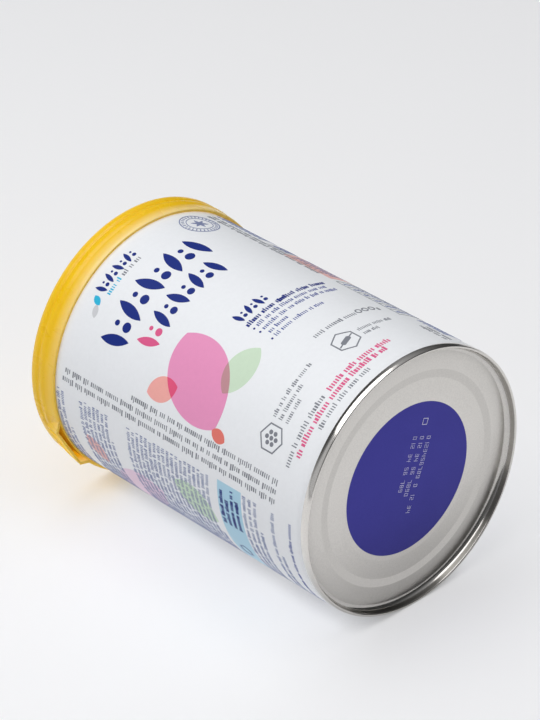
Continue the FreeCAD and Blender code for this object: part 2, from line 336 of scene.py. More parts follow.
def add_node(tree: Tree, kind: str, settings: dict | None = None) -> bpy.types.Node:
    """Add a node of a kind, set up as set_up does."""
    return set_up(tree, tree.nodes.new(kind), settings or {})


def remap(tree: Tree, value: Socket, span: Pair, result: Pair, smooth: bool = False) -> Socket:
    """Carry a value from one span to another and clamp it; smooth eases both ends."""
    settings = {
        "interpolation_type": "SMOOTHSTEP" if smooth else "LINEAR",
        "From Min": span[0],
        "From Max": span[1],
        "To Min": result[0],
        "To Max": result[1],
        "Value": value,
    }
    return add_node(tree, "ShaderNodeMapRange", settings).outputs["Result"]


def around(tree: Tree, noise: Socket, middle: float, spread: float) -> Socket:
    """Turn noise into a value that strays from its middle by up to the spread."""
    return remap(tree, noise, NOISE_SPAN, (middle - spread, middle + spread))


def maths(tree: Tree, operation: str, *operands: float | Socket) -> Socket:
    """Add a maths node for numbers or sockets."""
    settings = {"operation": operation, **dict(enumerate(operands))}
    return add_node(tree, "ShaderNodeMath", settings).outputs["Value"]


def mix_values(tree: Tree, share: Socket, first: Socket, second: float | Socket) -> Socket:
    """Go from a first value to a second by a share."""
    settings = {"data_type": "FLOAT", 0: share, 2: first, 3: second}
    return add_node(tree, "ShaderNodeMix", settings).outputs[0]


def mix_colours(
    tree: Tree,
    share: float | Socket,
    first: Sequence[float] | Socket,
    second: Sequence[float] | Socket,
    blend: str = "MIX",
) -> Socket:
    """Go from a first colour to a second by a share, or blend them in another way."""
    settings = {"data_type": "RGBA", "blend_type": blend, 0: share, 6: first, 7: second}
    return add_node(tree, "ShaderNodeMix", settings).outputs[2]


def bump(tree: Tree, height: Socket, strength: float | Socket, height_mm: float) -> Socket:
    """Turn a height from noise into small relief."""
    settings = {"Strength": strength, "Distance": height_mm * MILLIMETRE, "Height": height}
    return add_node(tree, "ShaderNodeBump", settings).outputs["Normal"]


def openness(tree: Tree, reach_mm: float) -> Socket:
    """Measure how open the surface is to what lies around it, from 0 to 1."""
    settings = {"samples": 8, "Distance": reach_mm * MILLIMETRE}
    return add_node(tree, "ShaderNodeAmbientOcclusion", settings).outputs["AO"]


def new_material(name: str) -> tuple[Material, Tree, bpy.types.Node]:
    """Make a material that holds only a Principled shader and its output."""
    material = bpy.data.materials.new(name)
    material.use_nodes = True
    tree = material.node_tree
    tree.nodes.clear()
    shader = add_node(tree, "ShaderNodeBsdfPrincipled")
    add_node(tree, "ShaderNodeOutputMaterial", {"Surface": shader.outputs["BSDF"]})
    return material, tree, shader


def grain(
    tree: Tree, size_mm: float, stretch: Vector = Vector((1, 1, 1)), detail: float = 2.0
) -> Socket:
    """Add noise whose grains are size_mm across, drawn out by stretch along each object axis."""
    place = add_node(tree, "ShaderNodeTexCoord").outputs["Object"]
    scale = Vector([1 / (size_mm * MILLIMETRE * share) for share in stretch])
    mapping = add_node(tree, "ShaderNodeMapping", {"Scale": scale, "Vector": place})
    settings = {
        "Scale": 1.0, "Detail": detail, "Roughness": 0.6, "Vector": mapping.outputs["Vector"]
    }
    return add_node(tree, "ShaderNodeTexNoise", settings).outputs["Fac"]


@dataclass(frozen=True)
class StoneFinishTinplate:
    """Tinplate rolled with ground rolls; the seaming chuck burnishes it outside polished_from. Its
    colour is darkened by painted shade where ambient occlusion finds it hemmed in.
    """

    name: str = "stone_finish_tinplate"
    colour: str = "#dcd9d4"
    roughness: float = 0.3
    ring_roughness: float = 0.37
    polished_roughness: float = 0.13
    polished_from: float = 47.2
    polish_ease: float = 1.0
    ring_ease: float = 0.15
    # painted shade: the colour's multiplier where the surface is fully hemmed in
    shade: float = 0.56
    ring_shade: float = 0.89
    painted_shade_span: Pair = (0.5, 0.95)
    painted_shade_reach_mm: float = 60.0
    grain_mm: float = 0.5
    grain_height_mm: float = 0.004
    cloud_mm: float = 9.0

    def build(self) -> Material:
        """Build the material."""
        material, tree, shader = new_material(self.name)
        # Roll grain is finer than this on the real sheet; it is drawn coarse enough to show.
        rolled = grain(tree, self.grain_mm, detail=1.0)
        tone = around(tree, rolled, 0.995, 0.045)
        tinted = mix_colours(tree, 1.0, linear(self.colour), tone, "MULTIPLY")
        dull = around(tree, grain(tree, self.cloud_mm), self.roughness, 0.02)
        radius = add_node(tree, "ShaderNodeAttribute", {"attribute_name": RADIUS}).outputs["Fac"]
        edge = (self.polished_from - self.polish_ease, self.polished_from + self.polish_ease)
        burnished = remap(tree, radius, edge, (0.0, 1.0), smooth=True)
        inner, outer = TIN.ring_radius, TIN.ring_radius + TIN.ring_slope
        off_ring = maths(tree, "ABSOLUTE", maths(tree, "SUBTRACT", radius, (inner + outer) / 2))
        half = (outer - inner) / 2
        ring_edge = (half - self.ring_ease, half + self.ring_ease)
        on_ring = remap(tree, off_ring, ring_edge, (1.0, 0.0))
        coined = mix_values(tree, on_ring, dull, self.ring_roughness)
        relief = remap(tree, burnished, (0.0, 1.0), (0.2, 0.02))
        # Painted shade: the colour is darkened where ambient occlusion finds the surface hemmed in,
        # near the floor and in the panel's corner; on the ring band a fixed factor takes its place.
        open_tone = openness(tree, self.painted_shade_reach_mm)
        shade = remap(tree, open_tone, self.painted_shade_span, (self.shade, 1.0))
        shade = mix_values(tree, on_ring, shade, self.ring_shade)
        settings = {
            "Metallic": 1.0,
            "Base Color": mix_colours(tree, 1.0, tinted, shade, "MULTIPLY"),
            "Roughness": mix_values(tree, burnished, coined, self.polished_roughness),
            "Normal": bump(tree, rolled, relief, self.grain_height_mm),
        }
        set_up(tree, shader, settings)
        return material


@dataclass(frozen=True)
class VarnishedPrint:
    """Offset ink or white base coat on tinplate under a satin varnish, which evens its gloss."""

    name: str
    colour: str
    roughness: float = 0.42
    specular: float = 0.22
    ripple_mm: float = 1.6
    ripple_height_mm: float = 0.0015
    mottle: float = 0.012

    def build(self) -> Material:
        """Build the material."""
        material, tree, shader = new_material(self.name)
        ripple = grain(tree, self.ripple_mm)
        shade = around(tree, ripple, 1.0, self.mottle)
        settings = {
            "Specular IOR Level": self.specular,
            "Base Color": mix_colours(tree, 1.0, linear(self.colour), shade, "MULTIPLY"),
            "Roughness": around(tree, ripple, self.roughness, 0.02),
            "Normal": bump(tree, ripple, 0.3, self.ripple_height_mm),
        }
        set_up(tree, shader, settings)
        return material


@dataclass(frozen=True)
class CapPolyethylene:
    """Injection-moulded polyethylene: waxy and softly shiny, with a painted glow that pales its
    colour near the skirt's edge and the rim's top on faces turned up to the lamps.
    """

    colour: str = "#f2c51b"
    deep_colour: str = "#eebf14"
    painted_glow_colour: str = "#fdeec4"
    painted_glow_edge: float = 0.5
    painted_glow_edge_mm: Pair = (3.8, -0.5)
    painted_glow_top: float = 0.35
    painted_glow_top_mm: Pair = (-2.0, 0.0)
    painted_lit_span: Pair = (-0.1, 0.9)
    painted_unlit_share: float = 0.2
    roughness: float = 0.28
    flow_mm: float = 14.0
    mould_texture_mm: float = 0.7
    texture_height_mm: float = 0.004
    glow_mm: float = 1.6

    def build(self) -> Material:
        """Build the material."""
        material, tree, shader = new_material("moulded_polyethylene")
        flow = grain(tree, self.flow_mm, Vector((1, 1, 0.4)))
        body = mix_colours(tree, flow, linear(self.deep_colour), linear(self.colour))
        place = add_node(tree, "ShaderNodeTexCoord")
        along, facing = (
            add_node(tree, "ShaderNodeSeparateXYZ", {0: place.outputs[name]})
            for name in ("Object", "Normal")
        )
        # Painted light: faces turned up get a paler colour near the skirt's edge and the rim's top,
        # standing in for light shining through the thin plastic.
        painted_lit_share = remap(tree, facing.outputs["Z"], self.painted_lit_span, (self.painted_unlit_share, 1.0))
        for height, offsets, share in (
            (CAP_EDGE, self.painted_glow_edge_mm, self.painted_glow_edge),
            (CAP_TOP, self.painted_glow_top_mm, self.painted_glow_top),
        ):
            level = (lying_matrix() @ Vector((0, 0, height))).y
            span = tuple(level + offset * MILLIMETRE for offset in offsets)
            painted_glow_band = remap(tree, along.outputs["Y"], span, (0.0, share))
            painted_glow_share = maths(tree, "MULTIPLY", painted_glow_band, painted_lit_share)
            body = mix_colours(tree, painted_glow_share, body, linear(self.painted_glow_colour))
        texture = grain(tree, self.mould_texture_mm)
        settings = {
            "Subsurface Weight": 0.3,
            "Subsurface Radius": (1.0, 0.72, 0.2),
            "Subsurface Scale": self.glow_mm * MILLIMETRE,
            "IOR": 1.51,
            "Specular IOR Level": 0.32,
            "Base Color": body,
            "Roughness": around(tree, flow, self.roughness, 0.015),
            "Normal": bump(tree, texture, 0.2, self.texture_height_mm),
        }
        set_up(tree, shader, settings)
        return material


# --- Ink ---


class Ink(Enum):
    """Printing inks and their sRGB colours, in the order they go down."""

    PALE_PINK = "#e3c9dc"
    PALE_GREEN = "#c8dcc4"
    SKY = "#a9cfe2"
    STONE = "#c9cace"
    BLUSH = "#e5b3ae"
    PINK = "#e493bc"
    CORAL = "#efa9a2"
    CRIMSON = "#e0547c"
    MAUVE = "#bd8c92"
    BRICK = "#e0766b"
    GREY = "#7d8088"
    INDIGO = "#4a5796"
    ROSE = "#d95b8a"
    CYAN = "#2fb2d6"
    SLATE = "#7f88a9"
    NAVY = "#152a7c"

    @property
    def label(self) -> str:
        """Name of the ink, used for its piece."""
        return self.name.lower()


@dataclass(frozen=True)
class Leaf:
    """A printed leaf: what two equal discs share."""

    centre: Pair
    length: float
    width: float
    degrees: float = 0.0

    @property
    def radius(self) -> float:
        """Radius of both discs."""
        return (self.length ** 2 + self.width ** 2) / (4 * self.width)

    def cuts(self, count: int = 40) -> list[tuple[Vector, Vector]]:
        """List points round the leaf, each with the direction that points out of it."""
        turn = Matrix.Rotation(math.radians(self.degrees), 3, "Z")
        span = math.asin(self.length / 2 / self.radius)
        found = []
        for side in (1, -1):
            middle = Vector((0, side * (self.width / 2 - self.radius), 0))
            for step in range(count):
                angle = side * math.pi / 2 + span * (2 * (step + 0.5) / count - 1)
                out = Vector((math.cos(angle), math.sin(angle), 0))
                point = turn @ (middle + out * self.radius) + Vector((*self.centre, 0))
                found.append((point, turn @ out))
        return found


@dataclass
class InkFilm:
    """One ink's shapes, drawn flat in mm: x runs round the can or across the base, y up."""

    shape: Shape = field(default_factory=bmesh.new)
    dice: random.Random = field(default_factory=lambda: random.Random(SEED))
    slice_mm: float = 1.4
    tick_pitch: float = 0.62

    def place(self, corners: list[Vert], centre: Pair, degrees: float = 0.0) -> None:
        """Turn and move fresh corners to their place, and slice what must bend round the can."""
        bmesh.ops.transform(self.shape, matrix=placing(centre, degrees), verts=corners)
        low = min(corner.co.x for corner in corners)
        high = max(corner.co.x for corner in corners)
        edges = [edge for corner in corners for edge in corner.link_edges]
        faces = [face for corner in corners for face in corner.link_faces]
        parts = list(dict.fromkeys([*corners, *edges, *faces]))
        cuts = int((high - low) / self.slice_mm)
        for cut in range(1, cuts + 1):
            parts = bmesh.ops.bisect_plane(
                self.shape,
                geom=parts,
                plane_co=(low + (high - low) * cut / (cuts + 1), 0, 0),
                plane_no=(1, 0, 0),
            )["geom"]

    def add(self, other: "InkFilm") -> None:
        """Add another film's shapes; that film is used up."""
        mesh = bpy.data.meshes.new("ink_line")
        other.shape.to_mesh(mesh)
        other.shape.free()
        self.shape.from_mesh(mesh)
        bpy.data.meshes.remove(mesh)

    def bar(self, centre: Pair, size: Pair, rounding: float = 0.0, degrees: float = 0.0) -> None:
        """Draw a filled bar, with rounded corners where rounding is given."""
        made = bmesh.ops.create_grid(self.shape, x_segments=1, y_segments=1, size=0.5)["verts"]
        bmesh.ops.scale(self.shape, vec=(*size, 1), verts=made)
        if rounding:
            made = round_off(self.shape, made, min(rounding, min(size) / 2 * 0.999), 6)
        self.place(made, centre, degrees)

    def disc(self, centre: Pair, radius: float, steps: int = 64) -> None:
        """Draw a filled disc, or a polygon where steps is small."""
        made = bmesh.ops.create_circle(self.shape, cap_ends=True, segments=steps, radius=radius)
        self.place(made["verts"], centre)

    def ring(
        self, centre: Pair, radius: float, width: float, steps: int = 64, degrees: float = 0.0
    ) -> None:
        """Draw a ring, or a polygon's outline where steps is small."""
        made = bmesh.ops.create_circle(self.shape, cap_ends=True, segments=steps, radius=radius)
        face = made["verts"][0].link_faces[0]
        band = bmesh.ops.inset_individual(
            self.shape, faces=[face], thickness=width, use_even_offset=True
        )["faces"]
        bmesh.ops.delete(self.shape, geom=[face], context="FACES_ONLY")
        corners = list(dict.fromkeys(corner for part in band for corner in part.verts))
        self.place(corners, centre, degrees)

    def leaf(self, *leaves: Leaf) -> None:
        """Draw a leaf, or only what several leaves share."""
        part = InkFilm()
        first = leaves[0]
        bmesh.ops.create_grid(part.shape, x_segments=1, y_segments=1, size=first.length)
        bmesh.ops.translate(part.shape, vec=(*first.centre, 0), verts=part.shape.verts)
        for point, out in (cut for leaf in leaves for cut in leaf.cuts()):
            bmesh.ops.bisect_plane(
                part.shape,
                geom=part.shape.verts[:] + part.shape.edges[:] + part.shape.faces[:],
                plane_co=point,
                plane_no=out,
                clear_outer=True,
            )
        part.place(part.shape.verts[:], (0, 0))
        self.add(part)

    def words(
        self, start: Pair, length: float, height: float, degrees: float = 0.0, weight: float = LIGHT
    ) -> None:
        """Draw a line of small upright ticks in groups as long as words.

        Args:
            start: Where the line's middle height starts.
            length: How long the line is.
            height: Height of the short ticks; some are taller.
            degrees: Direction of the line.
            weight: How much of its place a tick fills.
        """
        line = InkFilm()
        pitch = height * self.tick_pitch
        reach = 0.0
        left_in_word = self.dice.randint(3, 9)
        while length - reach > pitch:
            if left_in_word:
                tall = self.dice.choice((1.0, 1.0, 1.0, 1.4))
                drop = self.dice.choice((0.0, 0.0, -0.4))
                rise = drop * (tall - 1) * height + (tall - 1) * height / 2
                wide = pitch * weight * self.dice.choice((1.0, 1.0, 1.6))
                line.bar((reach + pitch / 2, rise), (wide, height * tall))
                left_in_word -= 1
            else:
                left_in_word = self.dice.randint(2, 9)
            reach += pitch
        bmesh.ops.transform(line.shape, matrix=placing(start, degrees), verts=line.shape.verts)
        self.add(line)

    def paragraph(
        self, corner: Pair, width: float, lines: int, pitch: float, height: float
    ) -> None:
        """Draw lines of ticks downwards from a top left corner; the last one stops short."""
        for line in range(lines):
            length = width * (self.dice.uniform(0.35, 0.85) if line == lines - 1 else 1.0)
            self.words((corner[0], corner[1] - line * pitch), length, height)


@dataclass
class Press:
    """Lays flat ink films on the tin: each film gets a thickness and follows the sheet."""

    root: float = 0.03
    first_film: float = 0.02
    film_step: float = 0.006

    def thicken(self, film: InkFilm, order: int) -> Shape:
        """Give a film its thickness; later inks stand a little higher.

        Args:
            film: The flat film; its mesh is used up.
            order: Place of the ink in the printing order.

        Returns:
            Closed flat shapes with z as the height over the sheet.
        """
        shape = film.shape
        top = bmesh.ops.extrude_face_region(shape, geom=shape.faces[:])["geom"]
        raised = [part for part in top if isinstance(part, Vert)]
        height = self.first_film + order * self.film_step
        bmesh.ops.translate(shape, vec=(0, 0, height + self.root), verts=raised)
        bmesh.ops.translate(shape, vec=(0, 0, -self.root), verts=shape.verts)
        bmesh.ops.recalc_face_normals(shape, faces=shape.faces)
        return shape

    def wrap(self, shape: Shape, radius: float, front_degrees: float) -> None:
        """Bend flat shapes round the can's wall, with x = 0 at the front bearing."""
        for corner in shape.verts:
            bearing = math.radians(front_degrees) + corner.co.x / radius
            reach = radius + corner.co.z
            corner.co = (reach * math.cos(bearing), reach * math.sin(bearing), corner.co.y)

    def press_on_base(self, shape: Shape, base: "BaseEnd") -> None:
        """Lay flat shapes on the domed base panel, which faces down in the upright frame."""
        for corner in shape.verts:
            depth = base.bulged(corner.co.xy.length, TIN.panel_depth)
            corner.co = (corner.co.x, -corner.co.y, depth - corner.co.z)


# --- The tin ---


@dataclass
class BaseEnd:
    """Pressed and seamed base end, with the lacquered disc and its dotted code."""

    bench: Bench
    press: Press
    dome: float = 0.9
    domed_radius: float = 44.5
    disc_radius: float = 28.5
    disc_slope: float = 1.6
    disc_rings: int = 24
    step_ease: float = 0.4
    panel_middle: float = 33.5
    flat_middle: float = 42.0
    sweep_radius: float = 1.5
    sweep_degrees: float = 3.0
    foot_radius: float = 1.9
    foot_degrees: float = 86.0
    crest_share: float = 0.45
    lacquer_radius: float = 28.3
    lacquer_rings: int = 16
    code_start: Pair = (9.4, 12.9)
    code_tilt: float = -112.3
    code_rows: tuple[str, ...] = ("0123456789 0 12 34", "012 34 56 7890", "012 34 56 789")
    mark_centre: Pair = (-5.5, -3.2)
    mark_size: float = 2.2
    mark_line: float = 0.22

    def bulged(self, radius: float, depth: float) -> float:
        """Give the depth of the panel at a radius once the fill pushes its middle outwards."""
        return depth - self.dome * max(0.0, 1 - (radius / self.domed_radius) ** 2)

    def outline(self) -> list[Corner]:
        """Give the end's section, from the middle of the panel over the seam and back inside."""
        panel = TIN.panel_depth - TIN.disc_step
        flat = panel - TIN.ring_step
        sweep = math.radians(self.sweep_degrees)
        foot = math.radians(self.foot_degrees)
        sweep_reach = self.sweep_radius * math.tan(sweep / 2)
        foot_reach = self.foot_radius * math.tan((foot - sweep) / 2)
        foot_end = TIN.wall_foot_radius
        foot_corner = foot_end - foot_reach * math.cos(foot)
        sweep_corner = foot_corner - (sweep_reach + foot_reach) * math.cos(sweep)
        foot_corner_height = flat - (sweep_reach + foot_reach) * math.sin(sweep)
        bend = sweep_corner + TIN.sheet * math.tan(sweep / 2)
        heel = foot_end + TIN.sheet
        heel_height = flat + TIN.sheet - (heel - bend) * math.tan(sweep)
        crest_ease = (TIN.seam_side_radius - TIN.crest_radius) * self.crest_share
        outer_ring = TIN.ring_radius + TIN.ring_slope
        cover_end = TIN.neck_radius + TIN.compound_gap
        stops = [(self.disc_radius * step / self.disc_rings, TIN.panel_depth, 0.0)
                 for step in range(self.disc_rings)]
        stops += [
            (self.disc_radius, TIN.panel_depth, self.step_ease),
            (self.disc_radius + self.disc_slope, panel, self.step_ease),
            (self.panel_middle, panel, 0.0),
            (TIN.ring_radius, panel, self.step_ease),
            (outer_ring, flat, self.step_ease),
            (self.flat_middle, flat, 0.0),
        ]
        return [
            *(Corner(radius, self.bulged(radius, depth), ease) for radius, depth, ease in stops),
            Corner(sweep_corner, flat, sweep_reach, 8),
            Corner(foot_corner, foot_corner_height, foot_reach, 8),
            Corner(TIN.crest_radius, 0, crest_ease, 8),
            Corner(TIN.seam_side_radius, 0, crest_ease, 8),
            *bulge(
                Corner(TIN.seam_side_radius, crest_ease * 1.05),
                Corner(TIN.seam_side_radius, TIN.seam_height - TIN.crest_round, 0.12),
                TIN.seam_radius - TIN.seam_side_radius,
            ),
            Corner(TIN.seam_foot_radius, TIN.seam_height, 0.08),
            Corner(cover_end, TIN.seam_height),
            Corner(cover_end, TIN.hook_height),
            Corner(TIN.cover_radius, TIN.hook_height),
            Corner(TIN.cover_radius, TIN.sheet),
            Corner(TIN.crest_radius + TIN.sheet, TIN.sheet),
            Corner(heel, heel_height),
            Corner(bend, flat + TIN.sheet),
            Corner(outer_ring, flat + TIN.sheet),
            Corner(TIN.ring_radius, TIN.panel_depth + TIN.sheet),
            Corner(0, TIN.panel_depth + TIN.sheet),
        ]

    def panel(self, tinplate: Material) -> Piece:
        """Build the pressed end itself."""
        return self.bench.settle(
            turned(self.outline()), "base_end_pressing", tinplate, "tinplate", "base_end", trim=True
        )

    def lacquer(self, finish: Material) -> Piece:
        """Build the round field of lacquer in the middle of the panel."""
        film = InkFilm()
        bmesh.ops.create_circle(
            film.shape, cap_ends=True, cap_tris=True, segments=192, radius=self.lacquer_radius
        )
        spokes = [edge for edge in film.shape.edges if len(edge.link_faces) == 2]
        bmesh.ops.subdivide_edges(film.shape, edges=spokes, cuts=self.lacquer_rings - 1)
        shape = self.press.thicken(film, 0)
        self.press.press_on_base(shape, self)
        return self.bench.settle(shape, "base_lacquer_disc", finish, "tinplate")

    def code(self, finish: Material) -> Piece:
        """Build the jet-printed rows of plain dotted digits on the lacquer."""
        film = InkFilm()
        DottedDigits().print_rows(film, self.code_rows)
        x, y = self.mark_centre
        for side in (-self.mark_size / 2, self.mark_size / 2):
            film.bar((x + side, y), (self.mark_line, self.mark_size))
            film.bar((x, y + side), (self.mark_size + self.mark_line, self.mark_line))
        turn = placing(self.code_start, self.code_tilt)
        bmesh.ops.transform(film.shape, matrix=turn, verts=film.shape.verts)
        shape = self.press.thicken(film, 2)
        self.press.press_on_base(shape, self)
        return self.bench.settle(shape, "base_dotted_code", finish, "tinplate")


@dataclass
class DottedDigits:
    """Plain digits drawn as dots along seven strokes, as a jet printer leaves them."""

    height: float = 1.6
    width: float = 0.86
    pitch: float = 1.6
    row_pitch: float = 3.5
    dot_radius: float = 0.12
    dot_pitch: float = 0.27
    strokes: dict[int, str] = field(
        default_factory=lambda: dict(
            enumerate("abcdef bc abged abgcd fgbc afgcd afgedc abc abcdefg gfabcd".split())
        )
    )

    def stroke_ends(self) -> dict[str, tuple[Pair, Pair]]:
        """Give both ends of each of the seven strokes."""
        right, top, middle = self.width, self.height, self.height / 2
        return {
            "a": ((0, top), (right, top)),
            "b": ((right, middle), (right, top)),
            "c": ((right, 0), (right, middle)),
            "d": ((0, 0), (right, 0)),
            "e": ((0, 0), (0, middle)),
            "f": ((0, middle), (0, top)),
            "g": ((0, middle), (right, middle)),
        }

    def print_rows(self, film: InkFilm, rows: Sequence[str]) -> None:
        """Print rows of digits downwards; the first starts at the film's origin."""
        ends = self.stroke_ends()
        for row, text in enumerate(rows):
            for place, digit in enumerate(text):
                dots = set()
                for stroke in self.strokes[int(digit)] if digit.strip() else "":
                    start, end = (Vector(point) for point in ends[stroke])
                    steps = round((end - start).length / self.dot_pitch)
                    for step in range(steps + 1):
                        point = start.lerp(end, step / steps)
                        dots.add((round(point.x, 3), round(point.y, 3)))
                for x, y in sorted(dots):
                    centre = (place * self.pitch + x, y - row * self.row_pitch)
                    film.disc(centre, self.dot_radius, 6)


@dataclass
class TinBody:
    """White-coated wall of the can, necked in to both seams, with the closed top end."""

    bench: Bench
    top_depth: float = 4.2
    top_wall: float = 2.0
    top_radius: float = 47.8
    bend_radius: float = 46.2
    heel: Pair = (48.6, 2.7)
    neck_ease: float = 0.25
    shoulder_ease: float = 0.7

    def outline(self) -> list[Corner]:
        """Give the section of the filled can, from the middle of its base up to its top end."""
        gap = TIN.compound_gap
        under = TIN.sheet + gap
        flat = TIN.panel_depth - TIN.disc_step - TIN.ring_step + under
        neck_low = TIN.seam_height + TIN.sheet
        neck_high = TIN.height - neck_low
        top_seam = TIN.height - TIN.seam_height
        return [
            Corner(0, TIN.panel_depth + under),
            Corner(TIN.ring_radius, TIN.panel_depth + under),
            Corner(TIN.ring_radius + TIN.ring_slope, flat),
            Corner(self.bend_radius, flat),
            Corner(*self.heel),
            Corner(TIN.crest_radius + under, under),
            Corner(TIN.cover_radius - gap, under),
            Corner(TIN.cover_radius - gap, TIN.hook_height - gap),
            Corner(TIN.neck_radius, TIN.hook_height - gap),
            Corner(TIN.neck_radius, neck_low, self.neck_ease),
            Corner(TIN.body_radius, neck_low + TIN.neck_length, self.shoulder_ease, 6),
            Corner(TIN.body_radius, neck_high - TIN.neck_length, self.shoulder_ease, 6),
            Corner(TIN.neck_radius, neck_high, self.neck_ease),
            Corner(TIN.neck_radius, top_seam),
            Corner(TIN.seam_foot_radius, top_seam),
            *bulge(
                Corner(TIN.seam_side_radius, top_seam + TIN.crest_round),
                Corner(TIN.seam_side_radius, TIN.height - TIN.crest_round),
                TIN.seam_radius - TIN.seam_side_radius,
            ),
            Corner(TIN.seam_foot_radius, TIN.height),
            Corner(TIN.crest_radius + TIN.crest_round, TIN.height),
            Corner(TIN.crest_radius, TIN.height - TIN.crest_round),
            Corner(TIN.wall_foot_radius, TIN.height - self.top_wall),
            Corner(self.top_radius, TIN.height - self.top_depth),
            Corner(0, TIN.height - self.top_depth),
        ]

    def build(self, coat: Material) -> Piece:
        """Build the coated wall."""
        return self.bench.settle(
            turned(self.outline()), "tin_body_wall", coat, "printed_body", "can_body"
        )


# --- The print ---


@dataclass
class PrintedWrap:
    """Generic print round the body: fields of colour, leaves and beads in place of words."""

    bench: Bench
    press: Press
    front_degrees: float = -118.5
    garland_pitch: float = 0.43
    leaf_width: float = 0.3
    leaf_lean: float = 78.0
    beads: tuple[tuple[float, float, int], ...] = ((-0.2, 0.14, 40), (0.17, 0.08, 32))
    films: dict[Ink, InkFilm] = field(default_factory=dict)
    dice: random.Random = field(default_factory=lambda: random.Random(SEED))

    def film(self, ink: Ink) -> InkFilm:
        """Give the film of an ink, started on its first use."""
        return self.films.setdefault(ink, InkFilm(dice=self.dice))

    def garland(self, middle: Pair, height: float, inks: Sequence[Ink]) -> None:
        """Draw a row of upright leaves with beads between them.

        Args:
            middle: Centre of the row.
            height: Height of its leaves.
            inks: Ink of each leaf or bead in turn.
        """
        pitch = height * self.garland_pitch
        left = middle[0] - pitch * (len(inks) - 1) / 2
        for index, ink in enumerate(inks):
            place = left + index * pitch
            film = self.film(ink)
            if index % 2:
                for rise, radius, steps in self.beads:
                    film.disc((place, middle[1] + height * rise), height * radius, steps)
            else:
                lean = self.leaf_lean if index % 4 else 180 - self.leaf_lean
                film.leaf(Leaf((place, middle[1]), height, height * self.leaf_width, lean))

    def front_heading(self) -> None:
        """Draw the maker's corner, the seal and the two garlands."""
        self.garland((-1.0, 122.4), 5.6, [Ink.NAVY] * 8)
        self.film(Ink.CYAN).words((-10.1, 118.2), 8.2, 1.5)
        self.film(Ink.GREY).words((-1.6, 118.2), 9.8, 1.5)
        self.film(Ink.CYAN).leaf(Leaf((-13.6, 121.2), 4.6, 2.6, 60))
        self.film(Ink.STONE).leaf(Leaf((-17.2, 119.6), 5.0, 2.6, 20))
        self.garland((0.4, 105.6), 13.4, [Ink.NAVY] * 9)
        self.garland((0.8, 91.2), 10.6, [Ink.ROSE, Ink.ROSE] + [Ink.NAVY] * 7)
        seal = self.film(Ink.SLATE)
        middle = (36.4, 119.0)
        seal.ring(middle, 7.4, 0.4)
        seal.ring(middle, 5.0, 0.3)
        for centre, degrees in round_about(middle, 6.1, 28):
            seal.bar(centre, (0.4, 1.1), degrees=degrees - 90)
        for step in range(3):
            seal.leaf(Leaf(middle, 6.4, 1.5, 60 * step + 30))

    def front_leaves(self) -> None:
        """Draw the sprig of large leaves on the front."""
        pink = Leaf((-20.5, 63.5), 38.0, 26.0, 50)
        green = Leaf((-10.5, 49.5), 20.0, 12.0, -10)
        coral = Leaf((-29.5, 77.0), 14.5, 9.0, 118)
        self.film(Ink.PINK).leaf(pink)
        self.film(Ink.PALE_GREEN).leaf(green)
        self.film(Ink.CORAL).leaf(coral)
        self.film(Ink.CRIMSON).leaf(coral, pink)
        self.film(Ink.MAUVE).leaf(green, pink)
        self.film(Ink.BRICK).leaf(Leaf((-34.0, 46.5), 7.0, 4.8, 75))

    def front_notes(self) -> None:
        """Draw the lines, marks and small fields on the lower front."""
        navy, indigo, grey, rose = map(self.film, (Ink.NAVY, Ink.INDIGO, Ink.GREY, Ink.ROSE))
        self.garland((10.8, 64.2), 5.6, [Ink.NAVY] * 6)
        navy.words((3.7, 58.8), 38.0, 1.5, weight=BOLD)
        for height, length in ((55.8, 33.0), (52.8, 35.0), (46.8, 23.0)):
            navy.disc((4.3, height), 0.42, 16)
            indigo.words((5.7, height), length, 1.3)
        indigo.words((5.7, 49.8), 10.3, 1.3)
        grey.words((12.0, 34.2), 19.6, 1.5)
        for index in range(3):
            grey.ring((33.4 + index * 3.1, 35.0), 1.35, 0.5, 24)
        grey.bar((42.0, 34.0), (1.0, 2.0), 0.3)
        beads, block = (-25.3, 24.1), (17.2, 24.1)
        for centre, top, lengths in ((beads, 26.7, (22.4, 14.2, 9.5)), (block, 25.4, (16.0, 7.0))):
            grey.ring(centre, 5.4, 0.5, 6)
            for index, length in enumerate(lengths):
                grey.words((centre[0] + 6.6, top - index * 3.0), length, 1.25)
        grey.disc(beads, 0.8, 24)
        for centre, _ in round_about(beads, 2.1, 6, 0.5):
            grey.disc(centre, 0.8, 24)
        grey.bar(block, (8.4, 0.5), degrees=20)
        grey.bar(block, (4.6, 2.0), 0.6, 20)
        grey.words((-31.4, 13.5), 28.0, 1.6)
        rose.words((-2.4, 13.5), 31.0, 1.7, weight=BOLD)
        rose.words((-26.8, 10.5), 50.6, 1.7, weight=BOLD)
        grey.words((-15.1, 7.4), 27.5, 1.5)

    def side_lines(self) -> None:
        """Draw the three long lines that run up the can beside the front."""
        grey = self.film(Ink.GREY)
        for place, top in ((-44.8, 126.8), (-41.3, 125.2), (-37.7, 90.2)):
            grey.words((place, 15.7), top - 15.7, 1.6, 90)

